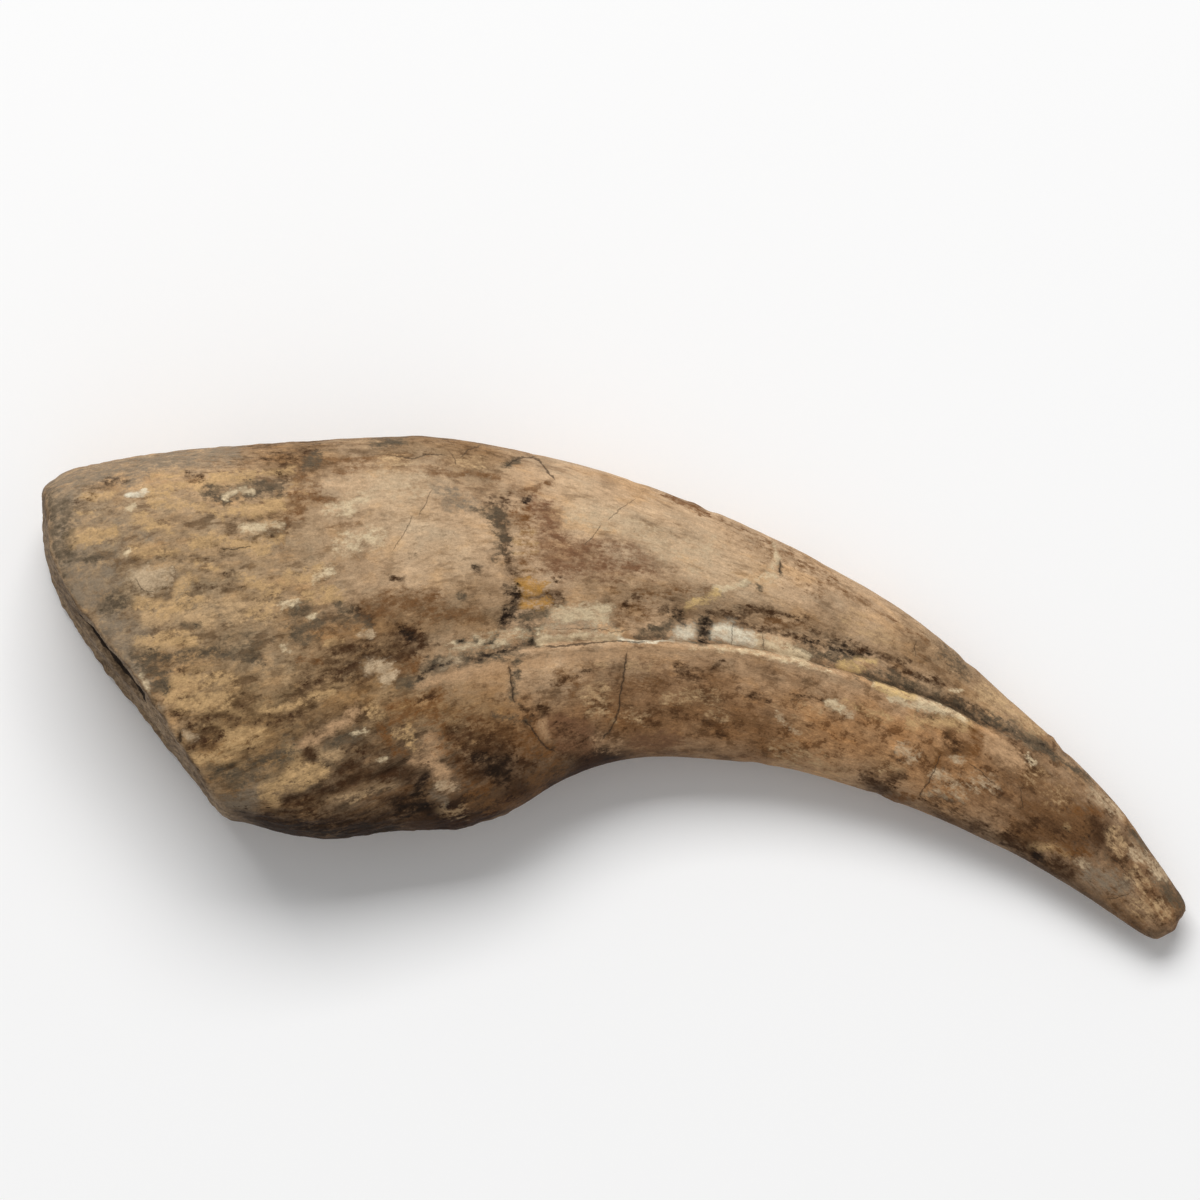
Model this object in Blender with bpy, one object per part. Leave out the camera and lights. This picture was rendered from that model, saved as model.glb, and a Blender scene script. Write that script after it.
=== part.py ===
"""Fossil hand claw of a large meat-eating dinosaur, lying on its side.

One bone: a deep base with the joint face and the flexor tubercle, and a blade that curves down to a
worn tip. A vessel groove runs along each side of the blade, nearer the upper edge towards the tip.

Frame: +X points from the base to the tip, +Y to the upper edge of the claw, +Z up from the surface
it lies on. The claw is made on its own middle plane, z = 0, and then laid down on its far side.
"""

import math

import bmesh
import bpy
import numpy as np
from mathutils import Matrix

# Driving dimensions. The tables are in millimetres.
CLAW_LENGTH = 0.180
LYING_TILT = math.radians(4.2)
LYING_ROLL = math.radians(1.6)
RESTING_WEAR = 0.3

# Pairs of points across the claw, (upper edge, lower edge), seen from the side.
# The first pair is the joint end. The worn tip rounds off past the last pair.
EDGE_PAIRS = (
    ((-89.5, 31.4), (-62.4, -20.1)),
    ((-86.4, 33.8), (-58.8, -21.4)),
    ((-76.5, 36.0), (-52.4, -23.3)),
    ((-63.0, 37.8), (-45.2, -24.1)),
    ((-48.0, 38.7), (-35.5, -23.0)),
    ((-32.0, 39.5), (-25.0, -22.3)),
    ((-19.0, 37.9), (-16.8, -19.5)),
    ((-6.0, 35.1), (-8.8, -14.7)),
    ((6.0, 31.3), (0.2, -11.5)),
    ((18.3, 26.5), (9.8, -11.0)),
    ((31.2, 20.3), (20.0, -11.8)),
    ((43.0, 13.5), (30.5, -13.7)),
    ((52.6, 6.4), (41.0, -17.1)),
    ((61.5, -1.5), (51.5, -21.2)),
    ((70.4, -9.5), (61.5, -25.9)),
    ((78.2, -17.4), (70.8, -31.2)),
    ((84.4, -25.9), (78.8, -36.5)),
    ((88.5, -31.8), (82.8, -39.1)),
)

# Half thickness, as (x on the middle line, half thickness).
HALF_THICKNESS = (
    (-78.0, 15.3),
    (-60.0, 14.4),
    (-35.0, 12.3),
    (-10.0, 10.4),
    (15.0, 8.6),
    (40.0, 6.9),
    (62.0, 5.2),
    (78.0, 3.9),
    (87.0, 3.1),
)

# Squareness of the cross-section: 2 is an ellipse, and more is flatter on the sides.
BASE_SQUARENESS = 3.0
BLADE_SQUARENESS = 2.3
SQUARENESS_CHANGE = (-70.0, 20.0)

# Joint face: a convex outline, a hollow on each side of a keel, and a rim that is worn back on the
# near side over the lower part of the face.
JOINT_BULGE = 6.2
JOINT_BULGE_LEAN = 0.75
JOINT_BLEND = 16.0
JOINT_HOLLOW = 2.2
JOINT_KEEL_WIDTH = 0.3
RIM_SETBACK = 2.6
RIM_SETBACK_CENTRE = -0.15
RIM_SETBACK_WIDTH = 0.5
RIM_FLARE = 0.8
RIM_LENGTH = 9.0

# Vessel groove, as (x on the middle line, place of its lower lip across the claw, depth). The place
# goes from -1 at the lower edge to 1 at the upper edge. A steep wall drops from the lip to the floor,
# and a gentle slope rises from the floor to the upper part of the side.
GROOVE = (
    (-45.0, -0.25, 0.0),
    (-29.0, -0.19, 0.6),
    (-12.0, -0.12, 1.4),
    (5.0, -0.11, 2.0),
    (18.0, 0.0, 2.2),
    (34.0, 0.12, 2.2),
    (44.0, 0.25, 2.0),
    (53.0, 0.41, 1.7),
    (61.0, 0.6, 1.2),
    (69.0, 0.76, 0.4),
    (76.0, 0.84, 0.0),
)
GROOVE_WALL = 1.7
GROOVE_SLOPE = 4.6
LIP_SWELL = 0.25
LIP_WIDTH = 3.0
FAR_GROOVE_SHARE = 0.85

# Worn tip.
TIP_LENGTH = 3.8
TIP_SQUARENESS = 2.2
TIP_DOME = 0.3

# Mesh density: distance between stations, and rows across each side.
STATION_STEP = 2.6
TIP_STATIONS = 4
UPPER_ROWS = 9
GROOVE_ROWS = 5
LOWER_ROWS = 8
GROOVE_SPAN = 5.5
TOP_OF_GROOVE_ROWS = 0.9
FACE_COLUMNS = 10

BONE_COLOUR = (0.235, 0.165, 0.108, 1.0)
BONE_ROUGHNESS = 0.72


def spline(points, places):
    """Catmull-Rom curve through the rows of points. A place counts rows, so 1.5 is between rows 1 and 2."""
    rows = np.asarray(points, float)
    padded = np.vstack([2 * rows[0] - rows[1], rows, 2 * rows[-1] - rows[-2]])
    index = np.clip(np.floor(places).astype(int), 0, len(rows) - 2)
    s = (places - index)[:, None]
    a, b, c, d = (padded[index + k] for k in range(4))
    return b + 0.5 * s * ((c - a) + s * ((2 * a - 5 * b + 4 * c - d) + s * (3 * b - a - 3 * c + d)))


def read_table(table, x):
    """The columns after the first, which is x, of the smooth curve through a table."""
    rows = np.asarray(table, float)
    places = np.interp(x, rows[:, 0], np.arange(len(rows)))
    return spline(rows, np.atleast_1d(places))[0, 1:]


def smooth_step(value):
    value = np.clip(value, 0.0, 1.0)
    return value * value * (3 - 2 * value)


def edges_at(places):
    upper = spline([pair[0] for pair in EDGE_PAIRS], places)
    lower = spline([pair[1] for pair in EDGE_PAIRS], places)
    return upper, lower


def run_along(points):
    steps = np.linalg.norm(np.diff(points, axis=0), axis=1)
    return np.concatenate([[0.0], np.cumsum(steps)])


def stations():
    """Evenly spaced stations: middle points, half chords to the upper edge, directions ahead, and the run."""
    fine = np.linspace(0, len(EDGE_PAIRS) - 1, 2000)
    upper, lower = edges_at(fine)
    run = run_along((upper + lower) / 2)
    count = round(run[-1] / STATION_STEP)
    upper, lower = edges_at(np.interp(np.linspace(0, run[-1], count + 1), run, fine))
    middle, half_chord = (upper + lower) / 2, (upper - lower) / 2
    ahead = np.gradient(middle, axis=0)
    ahead /= np.linalg.norm(ahead, axis=1)[:, None]
    return middle, half_chord, ahead, run_along(middle)


def places_across(lip_place, half_height):
    """Row places from 1, the upper edge, to -1, the lower edge, with rows along the lip and the groove."""
    top = min(lip_place + GROOVE_SPAN / half_height, TOP_OF_GROOVE_ROWS)
    turn = np.linspace(0, math.pi / 2, UPPER_ROWS + 1)
    upper = 1 - (1 - top) * (1 - np.cos(turn))
    groove = np.linspace(top, lip_place, GROOVE_ROWS + 1)[1:]
    turn = np.linspace(0, math.pi / 2, LOWER_ROWS + 1)[1:]
    lower = lip_place - (lip_place + 1) * np.sin(turn)
    return np.concatenate([upper, groove, lower])


def side_height(x, places, half_height, run, near):
    """Heights of one side over the middle plane."""
    thickness = read_table(HALF_THICKNESS, x)[0]
    thickness += RIM_FLARE * max(0.0, 1 - run / RIM_LENGTH) ** 2
    start, end = SQUARENESS_CHANGE
    change = smooth_step((x - start) / (end - start))
    squareness = BASE_SQUARENESS + (BLADE_SQUARENESS - BASE_SQUARENESS) * change
    height = thickness * (1 - np.abs(places) ** squareness) ** (1 / squareness)
    lip_place, depth = read_table(GROOVE, x)
    depth = max(depth, 0.0) * (1.0 if near else FAR_GROOVE_SHARE)
    above_lip = (places - lip_place) * half_height
    slope = np.exp(-(((above_lip - GROOVE_WALL) / GROOVE_SLOPE) ** 2))
    cut = np.where(above_lip > GROOVE_WALL, slope, smooth_step(above_lip / GROOVE_WALL))
    swell = LIP_SWELL * np.exp(-((np.minimum(above_lip, 0.0) / LIP_WIDTH) ** 2))
    room = np.sqrt(1 - np.abs(places))
    return height + depth * room * (swell - cut)


def joint_shift(places, near):
    """How far the joint end stands back, past a straight chord, at places across the claw."""
    shift = JOINT_BULGE * (1 + JOINT_BULGE_LEAN * places)
    if near:
        shift -= RIM_SETBACK * np.exp(-(((places - RIM_SETBACK_CENTRE) / RIM_SETBACK_WIDTH) ** 2))
    return shift * (1 - places**2)


def body_rings():
    """Rings round the claw, one at each station. Each runs down the near side and back up the far side."""
    rings = []
    for middle, half_chord, ahead, run in zip(*stations()):
        half_height = np.linalg.norm(half_chord)
        places = places_across(read_table(GROOVE, middle[0])[0], half_height)
        joint_share = max(0.0, 1 - run / JOINT_BLEND) ** 2
        sides = []
        for near in (True, False):
            height = side_height(middle[0], places, half_height, run, near)
            back = joint_share * joint_shift(places, near)
            outline = middle + np.outer(places, half_chord) - np.outer(back, ahead)
            sides.append(np.column_stack([outline, height if near else -height]))
        rings.append(np.vstack([sides[0], sides[1][-2:0:-1]]))
    return rings


def tip_rings(last_ring, ahead):
    """Rings that round off the worn tip, each a smaller copy of the last ring."""
    centre = last_ring.mean(axis=0)
    rings = []
    for step in range(1, TIP_STATIONS + 1):
        turn = math.pi / 2 * step / (TIP_STATIONS + 0.5)
        size = math.cos(turn) ** (2 / TIP_SQUARENESS)
        advance = TIP_LENGTH * math.sin(turn) ** (2 / TIP_SQUARENESS)
        rings.append(centre + size * (last_ring - centre) + advance * ahead)
    return rings


def joint_hollow(across, place):
    """Depth of the joint face: a hollow on each side of the keel."""
    off_keel = 1 - math.exp(-((across / JOINT_KEEL_WIDTH) ** 2))
    return -JOINT_HOLLOW * off_keel * (1 - across**2) * (1 - place**2)


def tip_dome(across, place):
    return TIP_DOME * (1 - across**2) * (1 - place**2)


def end_face(ring, outward, relief):
    """Points across one end, from the near side to the far side, for each row but the first and the last."""
    rows = len(ring) // 2
    upper, lower = ring[0], ring[rows]
    length = np.linalg.norm(upper - lower)
    columns = []
    for row in range(1, rows):
        near, far = ring[row], ring[-row]
        place = 2 * np.linalg.norm((near + far) / 2 - lower) / length - 1
        place = min(max(place, -1.0), 1.0)
        line = []
        for column in range(1, FACE_COLUMNS):
            across = 1 - 2 * column / FACE_COLUMNS
            point = (near + far) / 2 + across * (near - far) / 2
            line.append(point + relief(across, place) * outward)
        columns.append(line)
    return columns


def lay_down(points):
    """Lowers the tip and the upper edge until the claw lies on its far side, worn flat where it touches."""
    turn = Matrix.Rotation(-LYING_ROLL, 3, "X") @ Matrix.Rotation(LYING_TILT, 3, "Y")
    points = points @ np.array(turn).T
    points[:, 2] -= points[:, 2].min() + RESTING_WEAR
    points[:, 2] = np.maximum(points[:, 2], 0.0)
    low, high = points.min(axis=0), points.max(axis=0)
    points[:, :2] -= (low + high)[:2] / 2
    return points * CLAW_LENGTH / (high - low)[0]


def claw_mesh():
    ahead = stations()[2]
    body = body_rings()
    first_ahead, last_ahead = np.append(ahead[0], 0.0), np.append(ahead[-1], 0.0)
    rings = body + tip_rings(body[-1], last_ahead)
    joint = end_face(rings[0], -first_ahead, joint_hollow)
    tip = end_face(rings[-1], last_ahead, tip_dome)
    around = len(rings[0])
    points = lay_down(np.vstack([*rings, *joint, *tip]))

    mesh = bmesh.new()
    vertices = [mesh.verts.new(point) for point in points]
    grid = [vertices[start : start + around] for start in range(0, len(rings) * around, around)]
    for here, there in zip(grid, grid[1:]):
        for side in range(around):
            after = (side + 1) % around
            mesh.faces.new((here[side], here[after], there[after], there[side]))
    first = len(rings) * around
    for ring, start in ((grid[0], first), (grid[-1], first + len(joint) * (FACE_COLUMNS - 1))):
        cover_end(mesh, ring, vertices, start)
    bmesh.ops.recalc_face_normals(mesh, faces=mesh.faces)
    data = bpy.data.meshes.new("claw")
    mesh.to_mesh(data)
    mesh.free()
    return data


def cover_end(mesh, ring, vertices, start):
    """Faces over one end: quads between its rows, and a fan at its upper and its lower edge."""
    rows = len(ring) // 2
    inner = FACE_COLUMNS - 1
    lines = []
    for row in range(1, rows):
        first = start + (row - 1) * inner
        lines.append([ring[row], *vertices[first : first + inner], ring[-row]])
    for here, there in zip(lines, lines[1:]):
        for column in range(FACE_COLUMNS):
            mesh.faces.new((here[column], here[column + 1], there[column + 1], there[column]))
    for line, corner in ((lines[0], ring[0]), (lines[-1], ring[rows])):
        for column in range(FACE_COLUMNS):
            mesh.faces.new((line[column], line[column + 1], corner))


def bone_material():
    material = bpy.data.materials.new("fossil bone")
    material.use_nodes = True
    shader = material.node_tree.nodes["Principled BSDF"]
    shader.inputs["Base Color"].default_value = BONE_COLOUR
    shader.inputs["Roughness"].default_value = BONE_ROUGHNESS
    shader.inputs["Metallic"].default_value = 0.0
    return material


def main():
    for thing in list(bpy.data.objects):
        bpy.data.objects.remove(thing, do_unlink=True)
    collection = bpy.data.collections.new("dinosaur_fossil_claw")
    bpy.context.scene.collection.children.link(collection)
    claw = bpy.data.objects.new("claw", claw_mesh())
    claw.data.materials.append(bone_material())
    claw.data.shade_smooth()
    collection.objects.link(claw)


main()
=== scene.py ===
"""Looks of the fossil claw: one finely modelled bone in place of the plain CAD solid.

The CAD solid is remeshed finely, smoothed and carved: fibres, pits, cracks, the groove's lip, the slit in
the joint face and the worn edges. Stains are painted as soft masks on the mesh, and the material breaks
them up with noise along the fibres. Some strokes are partly painted shade, on the lower edges and in the
groove, and a painted highlight runs along the lip. Sizes and places are in millimetres in the CAD frame,
unless a comment says metres.
"""

import itertools
import math

import bpy
import numpy as np
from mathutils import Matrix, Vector
from mathutils.kdtree import KDTree


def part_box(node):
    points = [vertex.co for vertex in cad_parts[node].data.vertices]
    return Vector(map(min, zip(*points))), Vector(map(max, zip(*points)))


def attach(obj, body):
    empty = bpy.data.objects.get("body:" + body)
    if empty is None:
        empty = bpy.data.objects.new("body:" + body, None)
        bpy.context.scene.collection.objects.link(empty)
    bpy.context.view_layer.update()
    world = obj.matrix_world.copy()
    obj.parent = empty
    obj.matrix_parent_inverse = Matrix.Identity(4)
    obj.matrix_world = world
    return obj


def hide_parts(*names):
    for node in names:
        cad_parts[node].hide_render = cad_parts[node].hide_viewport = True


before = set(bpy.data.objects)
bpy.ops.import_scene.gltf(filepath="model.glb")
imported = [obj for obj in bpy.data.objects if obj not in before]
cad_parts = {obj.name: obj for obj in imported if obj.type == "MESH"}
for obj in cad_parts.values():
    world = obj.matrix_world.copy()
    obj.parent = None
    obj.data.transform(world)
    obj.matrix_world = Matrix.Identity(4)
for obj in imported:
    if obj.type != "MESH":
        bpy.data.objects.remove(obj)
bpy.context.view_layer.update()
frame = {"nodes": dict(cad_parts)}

MM = 0.001

# Camera: straight above, far away, as the photo is framed. The width is what it sees of the floor.
CAMERA_LENS = 300.0
SENSOR_WIDTH = 36.0
VIEW_WIDTH = 188.6
VIEW_CENTRE = (-2.3, 13.9)
CAMERA_HEIGHT = VIEW_WIDTH * CAMERA_LENS / SENSOR_WIDTH
# Floor, sky and window, in metres and watts. The camera sees the floor as far as it goes.
FLOOR_SIZE = 60.0
FLOOR_TONE = 0.97
CAMERA_REACH = 100.0
SKY_STRENGTH = 0.4
WINDOW_SIZE = (2.2, 1.4)
WINDOW_PLACE = (-0.3, 2.0, 2.3)
WINDOW_POWER = 78.0

# Fine mesh: its spacing, and rounds of smoothing for its shape and for the level its relief stands on.
VOXEL = 0.52
SMOOTHING_ROUNDS = 25
LEVEL_ROUNDS = 7

# Lines across the claw that the bone's fibres cross at right angles, as (upper end, lower end).
FIBRE_LINES = (
    ((-96, 28), (-88, -50)), ((-72, 36), (-62, -40)), ((-50, 38.6), (-40, -30)), ((-30, 39.3), (-22, -20.5)),
    ((-10, 36.2), (-8, -14.5)), ((8, 30.7), (2, -11.3)), ((31, 20.4), (20, -11.7)), ((52, 7), (41, -17)),
    ((70, -9.2), (61.5, -25.8)), ((84, -25), (78.6, -36.4)), ((94, -39), (90, -46)),
)
# Fibres lie side by side within about this width of the claw, and closer together where it is narrower.
WIDEST_GRAIN = 44.0


def smooth_step(value, low, high):
    share = np.clip((value - low) / (high - low), 0.0, 1.0)
    return share * share * (3 - 2 * share)


def plateau(value, low, whole, fading, high):
    """Rises from 0 at low to 1 at whole, and falls from 1 at fading to 0 at high."""
    return smooth_step(value, low, whole) * smooth_step(value, high, fading)


def spline(points, places):
    """Catmull-Rom curve through the rows of points. A place counts rows, so 1.5 is between rows 1 and 2."""
    rows = np.asarray(points, float)
    padded = np.vstack([2 * rows[0] - rows[1], rows, 2 * rows[-1] - rows[-2]])
    index = np.clip(np.floor(places).astype(int), 0, len(rows) - 2)
    s = (places - index)[:, None]
    a, b, c, d = (padded[index + k] for k in range(4))
    return b + 0.5 * s * ((c - a) + s * ((2 * a - 5 * b + 4 * c - d) + s * (3 * b - a - 3 * c + d)))


def noise(points, seed):
    """Smooth gradient noise, about -1 to 1, with cells of size 1."""
    cell = np.floor(points).astype(np.int64)
    inside = points - cell
    fade = inside**3 * (inside * (inside * 6 - 15) + 10)
    total = np.zeros(len(points))
    for corner in itertools.product((0, 1), repeat=3):
        at = cell + corner
        mixed = at[:, 0] * 374761393 + at[:, 1] * 668265263 + at[:, 2] * 2147483647 + seed * 974634777
        mixed = (mixed ^ (mixed >> 13)) * 1274126177 & 0x7FFFFFFF
        mixed ^= mixed >> 16
        slopes = np.stack([(mixed >> shift) & 1023 for shift in (0, 10, 20)], axis=1) / 511.5 - 1
        share = np.prod(np.where(corner, fade, 1 - fade), axis=1)
        total += share * np.einsum("ij,ij->i", slopes, inside - corner)
    return total * 1.4


def layered_noise(points, octaves, seed):
    total, weight, weights = 0.0, 1.0, 0.0
    for octave in range(octaves):
        total = total + weight * noise(points * 2.0**octave + 17.3 * octave, seed + octave)
        weights += weight
        weight *= 0.5
    return total / weights * 1.5


def relax(values, edges, rounds):
    """Moves each vertex's values towards the mean of its neighbours', round after round."""
    ends, others = np.concatenate([edges, edges[:, ::-1]]).T
    count = np.bincount(ends, minlength=len(values))
    for _ in range(rounds):
        means = [np.bincount(ends, column[others], len(values)) / count for column in values.T]
        values = values + 0.5 * (np.stack(means, axis=1) - values)
    return values


def read_vertices(mesh, name="co"):
    values = np.empty(len(mesh.vertices) * 3)
    mesh.vertices.foreach_get(name, values)
    return values.reshape(-1, 3)


def fine_copy(node, name):
    """A fine, even mesh of a CAD node, with its facets smoothed away."""
    source = bpy.data.objects.new(name, node.data.copy())
    source.data.materials.clear()
    bpy.context.scene.collection.objects.link(source)
    remesh = source.modifiers.new("fine", "REMESH")
    remesh.mode = "VOXEL"
    remesh.voxel_size = VOXEL * MM
    depsgraph = bpy.context.evaluated_depsgraph_get()
    mesh = bpy.data.meshes.new_from_object(source.evaluated_get(depsgraph))
    source.modifiers.clear()
    source.data = mesh
    mesh.name = name
    edges = np.empty(len(mesh.edges) * 2, np.int32)
    mesh.edges.foreach_get("vertices", edges)
    points = relax(read_vertices(mesh), edges.reshape(-1, 2), SMOOTHING_ROUNDS)
    mesh.vertices.foreach_set("co", points.ravel())
    mesh.update()
    return source, edges.reshape(-1, 2)


def fibre_coordinates(plan):
    """Places along and across the fibres, in millimetres, for points seen from above."""
    upper, lower = ([line[end] for line in FIBRE_LINES] for end in (0, 1))
    least, most = np.zeros(len(plan)), np.full(len(plan), len(FIBRE_LINES) - 1.0)
    for _ in range(24):
        guess = (least + most) / 2
        foot = spline(lower, guess)
        line, reach = spline(upper, guess) - foot, plan - foot
        beyond = line[:, 0] * reach[:, 1] < line[:, 1] * reach[:, 0]
        least, most = np.where(beyond, guess, least), np.where(beyond, most, guess)
    length = np.linalg.norm(line, axis=1)
    share = np.einsum("ij,ij->i", reach, line) / length**2
    fine = np.linspace(0, len(FIBRE_LINES) - 1, 1000)
    middle = (spline(upper, fine) + spline(lower, fine)) / 2
    run = np.concatenate([[0.0], np.cumsum(np.linalg.norm(np.diff(middle, axis=0), axis=1))])
    width = (length**-4 + WIDEST_GRAIN**-4) ** -0.25
    return np.interp(guess, fine, run), (share - 0.5) * width


def across_line(plan, line):
    """Signed distance from a line of places, positive on its left, and the share of its length there."""
    line = np.reshape(line, (-1, 2)).astype(float)
    steps = np.diff(line, axis=0)
    lengths = np.linalg.norm(steps, axis=1)
    starts = np.concatenate([[0.0], np.cumsum(lengths)[:-1]])
    nearest = np.full(len(plan), np.inf)
    signed, share = np.zeros(len(plan)), np.zeros(len(plan))
    for start, step, length, before in zip(line, steps, lengths, starts):
        reach = plan - start
        place = np.clip(reach @ step / length**2, 0, 1)
        distance = np.linalg.norm(reach - place[:, None] * step, axis=1)
        left = step[0] * reach[:, 1] - step[1] * reach[:, 0] > 0
        closer = distance < nearest
        nearest = np.where(closer, distance, nearest)
        signed = np.where(closer, np.where(left, distance, -distance), signed)
        share = np.where(closer, (before + place * length) / lengths.sum(), share)
    return signed, share


# Edge between the rough, spongy bone of the base and the smooth skin of the blade. The base is on its left.
ROUGH_EDGE = (
    (-13, -24), (-20, -12), (-28, -5), (-33, 2), (-37, 9), (-43, 14), (-48, 21), (-50, 27), (-48, 33),
    (-46, 42),
)
# How noise moves that edge: distance, size of cells, octaves and seed. And how softly the edge fades.
ROUGH_EDGE_WANDER = (2.5, 6, 2, 11)
ROUGH_EDGE_FADE = 3.0
# Lower lip of the groove, from the base towards the tip.
LIP_LINE = (
    (-29, 2.6), (-22, 4.3), (-15, 6.0), (-8.5, 6.9), (1.7, 7.4), (10, 7.1), (18, 6.7), (24, 5.7), (28.8, 4.5),
    (35.1, 2.7), (40.5, 1.2), (45.8, -0.6), (51.2, -2.4), (55.3, -4.6), (59, -6.8), (63.8, -8.7), (68, -10.8),
)
# Ridge and cut beside that line: height, distance from it, half width, and where along it they rise and end.
LIP_PROFILE = ((0.35, -0.45, 0.7), (-1.0, 1.05, 0.8))
LIP_TAPER = (0, 0.25, 0.85, 1)
# The joint face: its outward direction, how far out it starts, and how squarely its bone faces that way.
JOINT_OUTWARD = (-0.9, -0.42, 0.0)
JOINT_START = (58, 64)
JOINT_FACING = (0.45, 0.75)
# The slit in the joint face: height, how noise moves it, reach in Y with fading ends, fading and size.
RIM_CRACK_HEIGHT = 18.8
RIM_CRACK_WANDER = (0.8, 4, 3, 41)
RIM_CRACK_REACH = (-3.5, 0.5, 8.5, 13.0)
RIM_CRACK_FADE = (3.2, 2.2)
RIM_CRACK_WIDTH = 1.0
RIM_CRACK_DEPTH = 1.0
# Layers of relief: which bone, its coordinates, height, size of the cells, octaves and seed.
RELIEF = (
    ("all", "points", 0.2, (13, 13, 13), 2, 1),
    ("rough", "grain", 0.2, (6.5, 1.3, 1.3), 3, 2),
    ("rough", "grain", 0.12, (2.4, 0.9, 0.9), 2, 5),
    ("smooth", "grain", 0.045, (11, 1.3, 1.3), 2, 8),
    ("smooth", "points", 0.03, (1.6, 1.6, 1.6), 2, 9),
    ("joint", "points", 0.3, (2.2, 2.2, 2.2), 3, 10),
)
# How far the rough bone lies below the smooth skin.
ROUGH_SINK = 0.08
# Pits: places tried, and how far each reaches along and across the fibres, in radii.
PIT_TRIES = 1300
PIT_SHAPE = (2.4, 0.8, 0.8)
# Chips from the edges, and a few small knobs: place, radius and depth.
CHIPS = (
    (89.6, -37, 1.8, 0.7), (90.2, -35.4, 1, 0.3), (87.4, -39.4, 1.4, 0.3), (69, -7.6, 1, -0.3),
    (71, -9.4, 1.2, 0.25), (55.4, 4.6, 1.4, 0.2), (14.8, 28, 1.6, 0.25), (12.6, 29.6, 1.2, -0.15),
    (-75.6, -3.4, 1.2, 0.3), (-79.6, 2.6, 1.2, -0.25), (-82.8, 5.2, 1.1, 0.25), (-70.4, -9.4, 1.2, -0.2),
    (22, -11.4, 2.2, 0.2), (-25, -22.6, 1.6, -0.2), (-21, -21.2, 1.4, 0.2), (-17, -19.8, 1.2, -0.2),
    (41, -17, 1.4, 0.2), (44, -18, 1.6, -0.15), (-89.8, 31, 3, -0.7), (-70.5, 36.5, 1.5, 0.15),
    (-31, 39.4, 3, -0.2), (-60.5, -20.2, 2, -0.2), (3, 32, 1.5, 0.15), (33, 19.6, 1.5, 0.1),
    (-72.6, 17.3, 2, -0.3),
)

# A mark is a stroke: two numbers, then the places X, Y, X, Y... of the plan that it runs along. For a crack
# the two are half width and depth. Cracks of one group stay apart where they don't meet end to end. A crack
# tapers over these shares of its length, and ends within these distances from its line.
CRACK_TAPER = (0, 0.12, 0.92, 1)
CRACK_FADE = (1.6, 1.0)
CRACKS = (
    (
        (0.3, 0.5, -68.4, -6.3, -68.3, -10, -66.8, -12.7, -65, -15.2),
        (0.16, 0.3, -16.6, 4, -16.2, 1.2, -16, -0.6, -15.6, -2.6),
        (0.17, 0.3, -14.8, -4.8, -13, -6, -12, -8, -10.5, -9.5, -9, -10),
        (0.16, 0.25, 2, 6.5, 1.6, 3, 1.1, 0, 0.6, -3.5, -0.5, -6.5, -2.5, -8.5),
        (0.1, 0.1, 3.5, 30.1, 1, 28.2, -1.2, 26.4), (0.11, 0.1, -2, 25.9, -3, 24.5, -4.8, 22.4),
        (0.16, 0.2, -17.5, 34.4, -16.6, 35.5, -15, 36.4, -13, 36.6, -11.8, 36, -10.6, 34.2, -9, 32.6),
        (0.1, 0.12, -31.5, 27.5, -33, 24.5, -35, 21.4),
        (0.13, 0.15, -36, 36.7, -33.5, 36.6, -31.4, 36.2, -29.5, 36.9, -26, 36.8),
        (0.13, 0.2, 51.4, -9.8, 50.6, -12, 49.4, -14.6, 47.6, -17.2),
        (0.12, 0.15, 77, -33.1, 79, -32.9, 81, -32.2),
    ),
    (
        (0.2, 0.2, -12.2, 6.9, -9, 6.5, -5, 7, 0, 7.6, 3, 7.3, 5.5, 7.5),
        (0.1, 0.1, -28.7, 31.5, -29.7, 29, -31, 27), (0.1, 0.1, -24.5, 36, -23, 37.6, -21, 38.2),
        (0.1, 0.15, 18.7, 10.4, 18.5, 8.8, 18.6, 7.2), (0.12, 0.15, 55.4, -11.6, 57.5, -13, 60, -15.3),
        (0.09, 0.1, 77, -26, 79.5, -27.6, 81, -29.5, 82, -31), (0.1, 0.1, 47.5, 7.8, 47, 6.6, 47.3, 5),
        (0.1, 0.15, -72, 15, -74.5, 15.6, -75.3, 17.5), (0.14, 0.2, -62, 22, -60, 21.9, -57, 22.4),
    ),
    (
        (0.09, 0.08, -10.5, 9.2, -6, 9.5, 0, 9.2, 3, 9.3), (0.1, 0.1, -26, 37.6, -25.2, 36.4, -24.8, 35),
        (0.1, 0.12, 23.3, 8.6, 23.4, 7.4, 23.9, 6.4), (0.16, 0.2, 26, 20.2, 26.1, 18.2),
        (0.1, 0.1, 63.6, -15, 63.9, -17, 64.2, -19.3),
    ),
)

# Stains of the upper side, listed by tone. Their two numbers are half width and strength.
GREY = (
    (2.6, 0.8, -87, 30, -87, 20), (1.7, 0.8, -86, 32.5, -78, 34.5, -68, 36.2, -60, 37.3),
    (2.6, 0.45, -81, 27, -73, 24.6), (0.9, 0.6, -77.6, 32, -75.6, 32.2), (1, 0.6, -84.5, 21.8, -79, 22.8),
    (2.6, 0.9, -86, 17.5, -80, 17.5), (1.6, 0.8, -86, 14, -82, 13.5, -77, 10, -73.5, 8),
    (1.6, 0.8, -80, 9, -76.5, 5, -74, 1), (1.6, 0.4, -73.4, 17.4, -71.6, 17.2),
    (0.9, 0.8, -74, -1.6, -71.6, -3.6), (1.5, 0.9, -61, -18.4, -57.5, -18.8, -57, -16),
    (0.8, 0.8, -28.4, -17, -26.6, -18), (1, 0.6, -28.6, 31.8, -26, 31), (1.1, 0.7, -26, 29.4, -22, 28.6),
    (0.8, 0.7, -11, 10, -4, 10.3, 0, 10), (1.6, 0.7, 75, -29.4, 80, -31),
)
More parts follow.
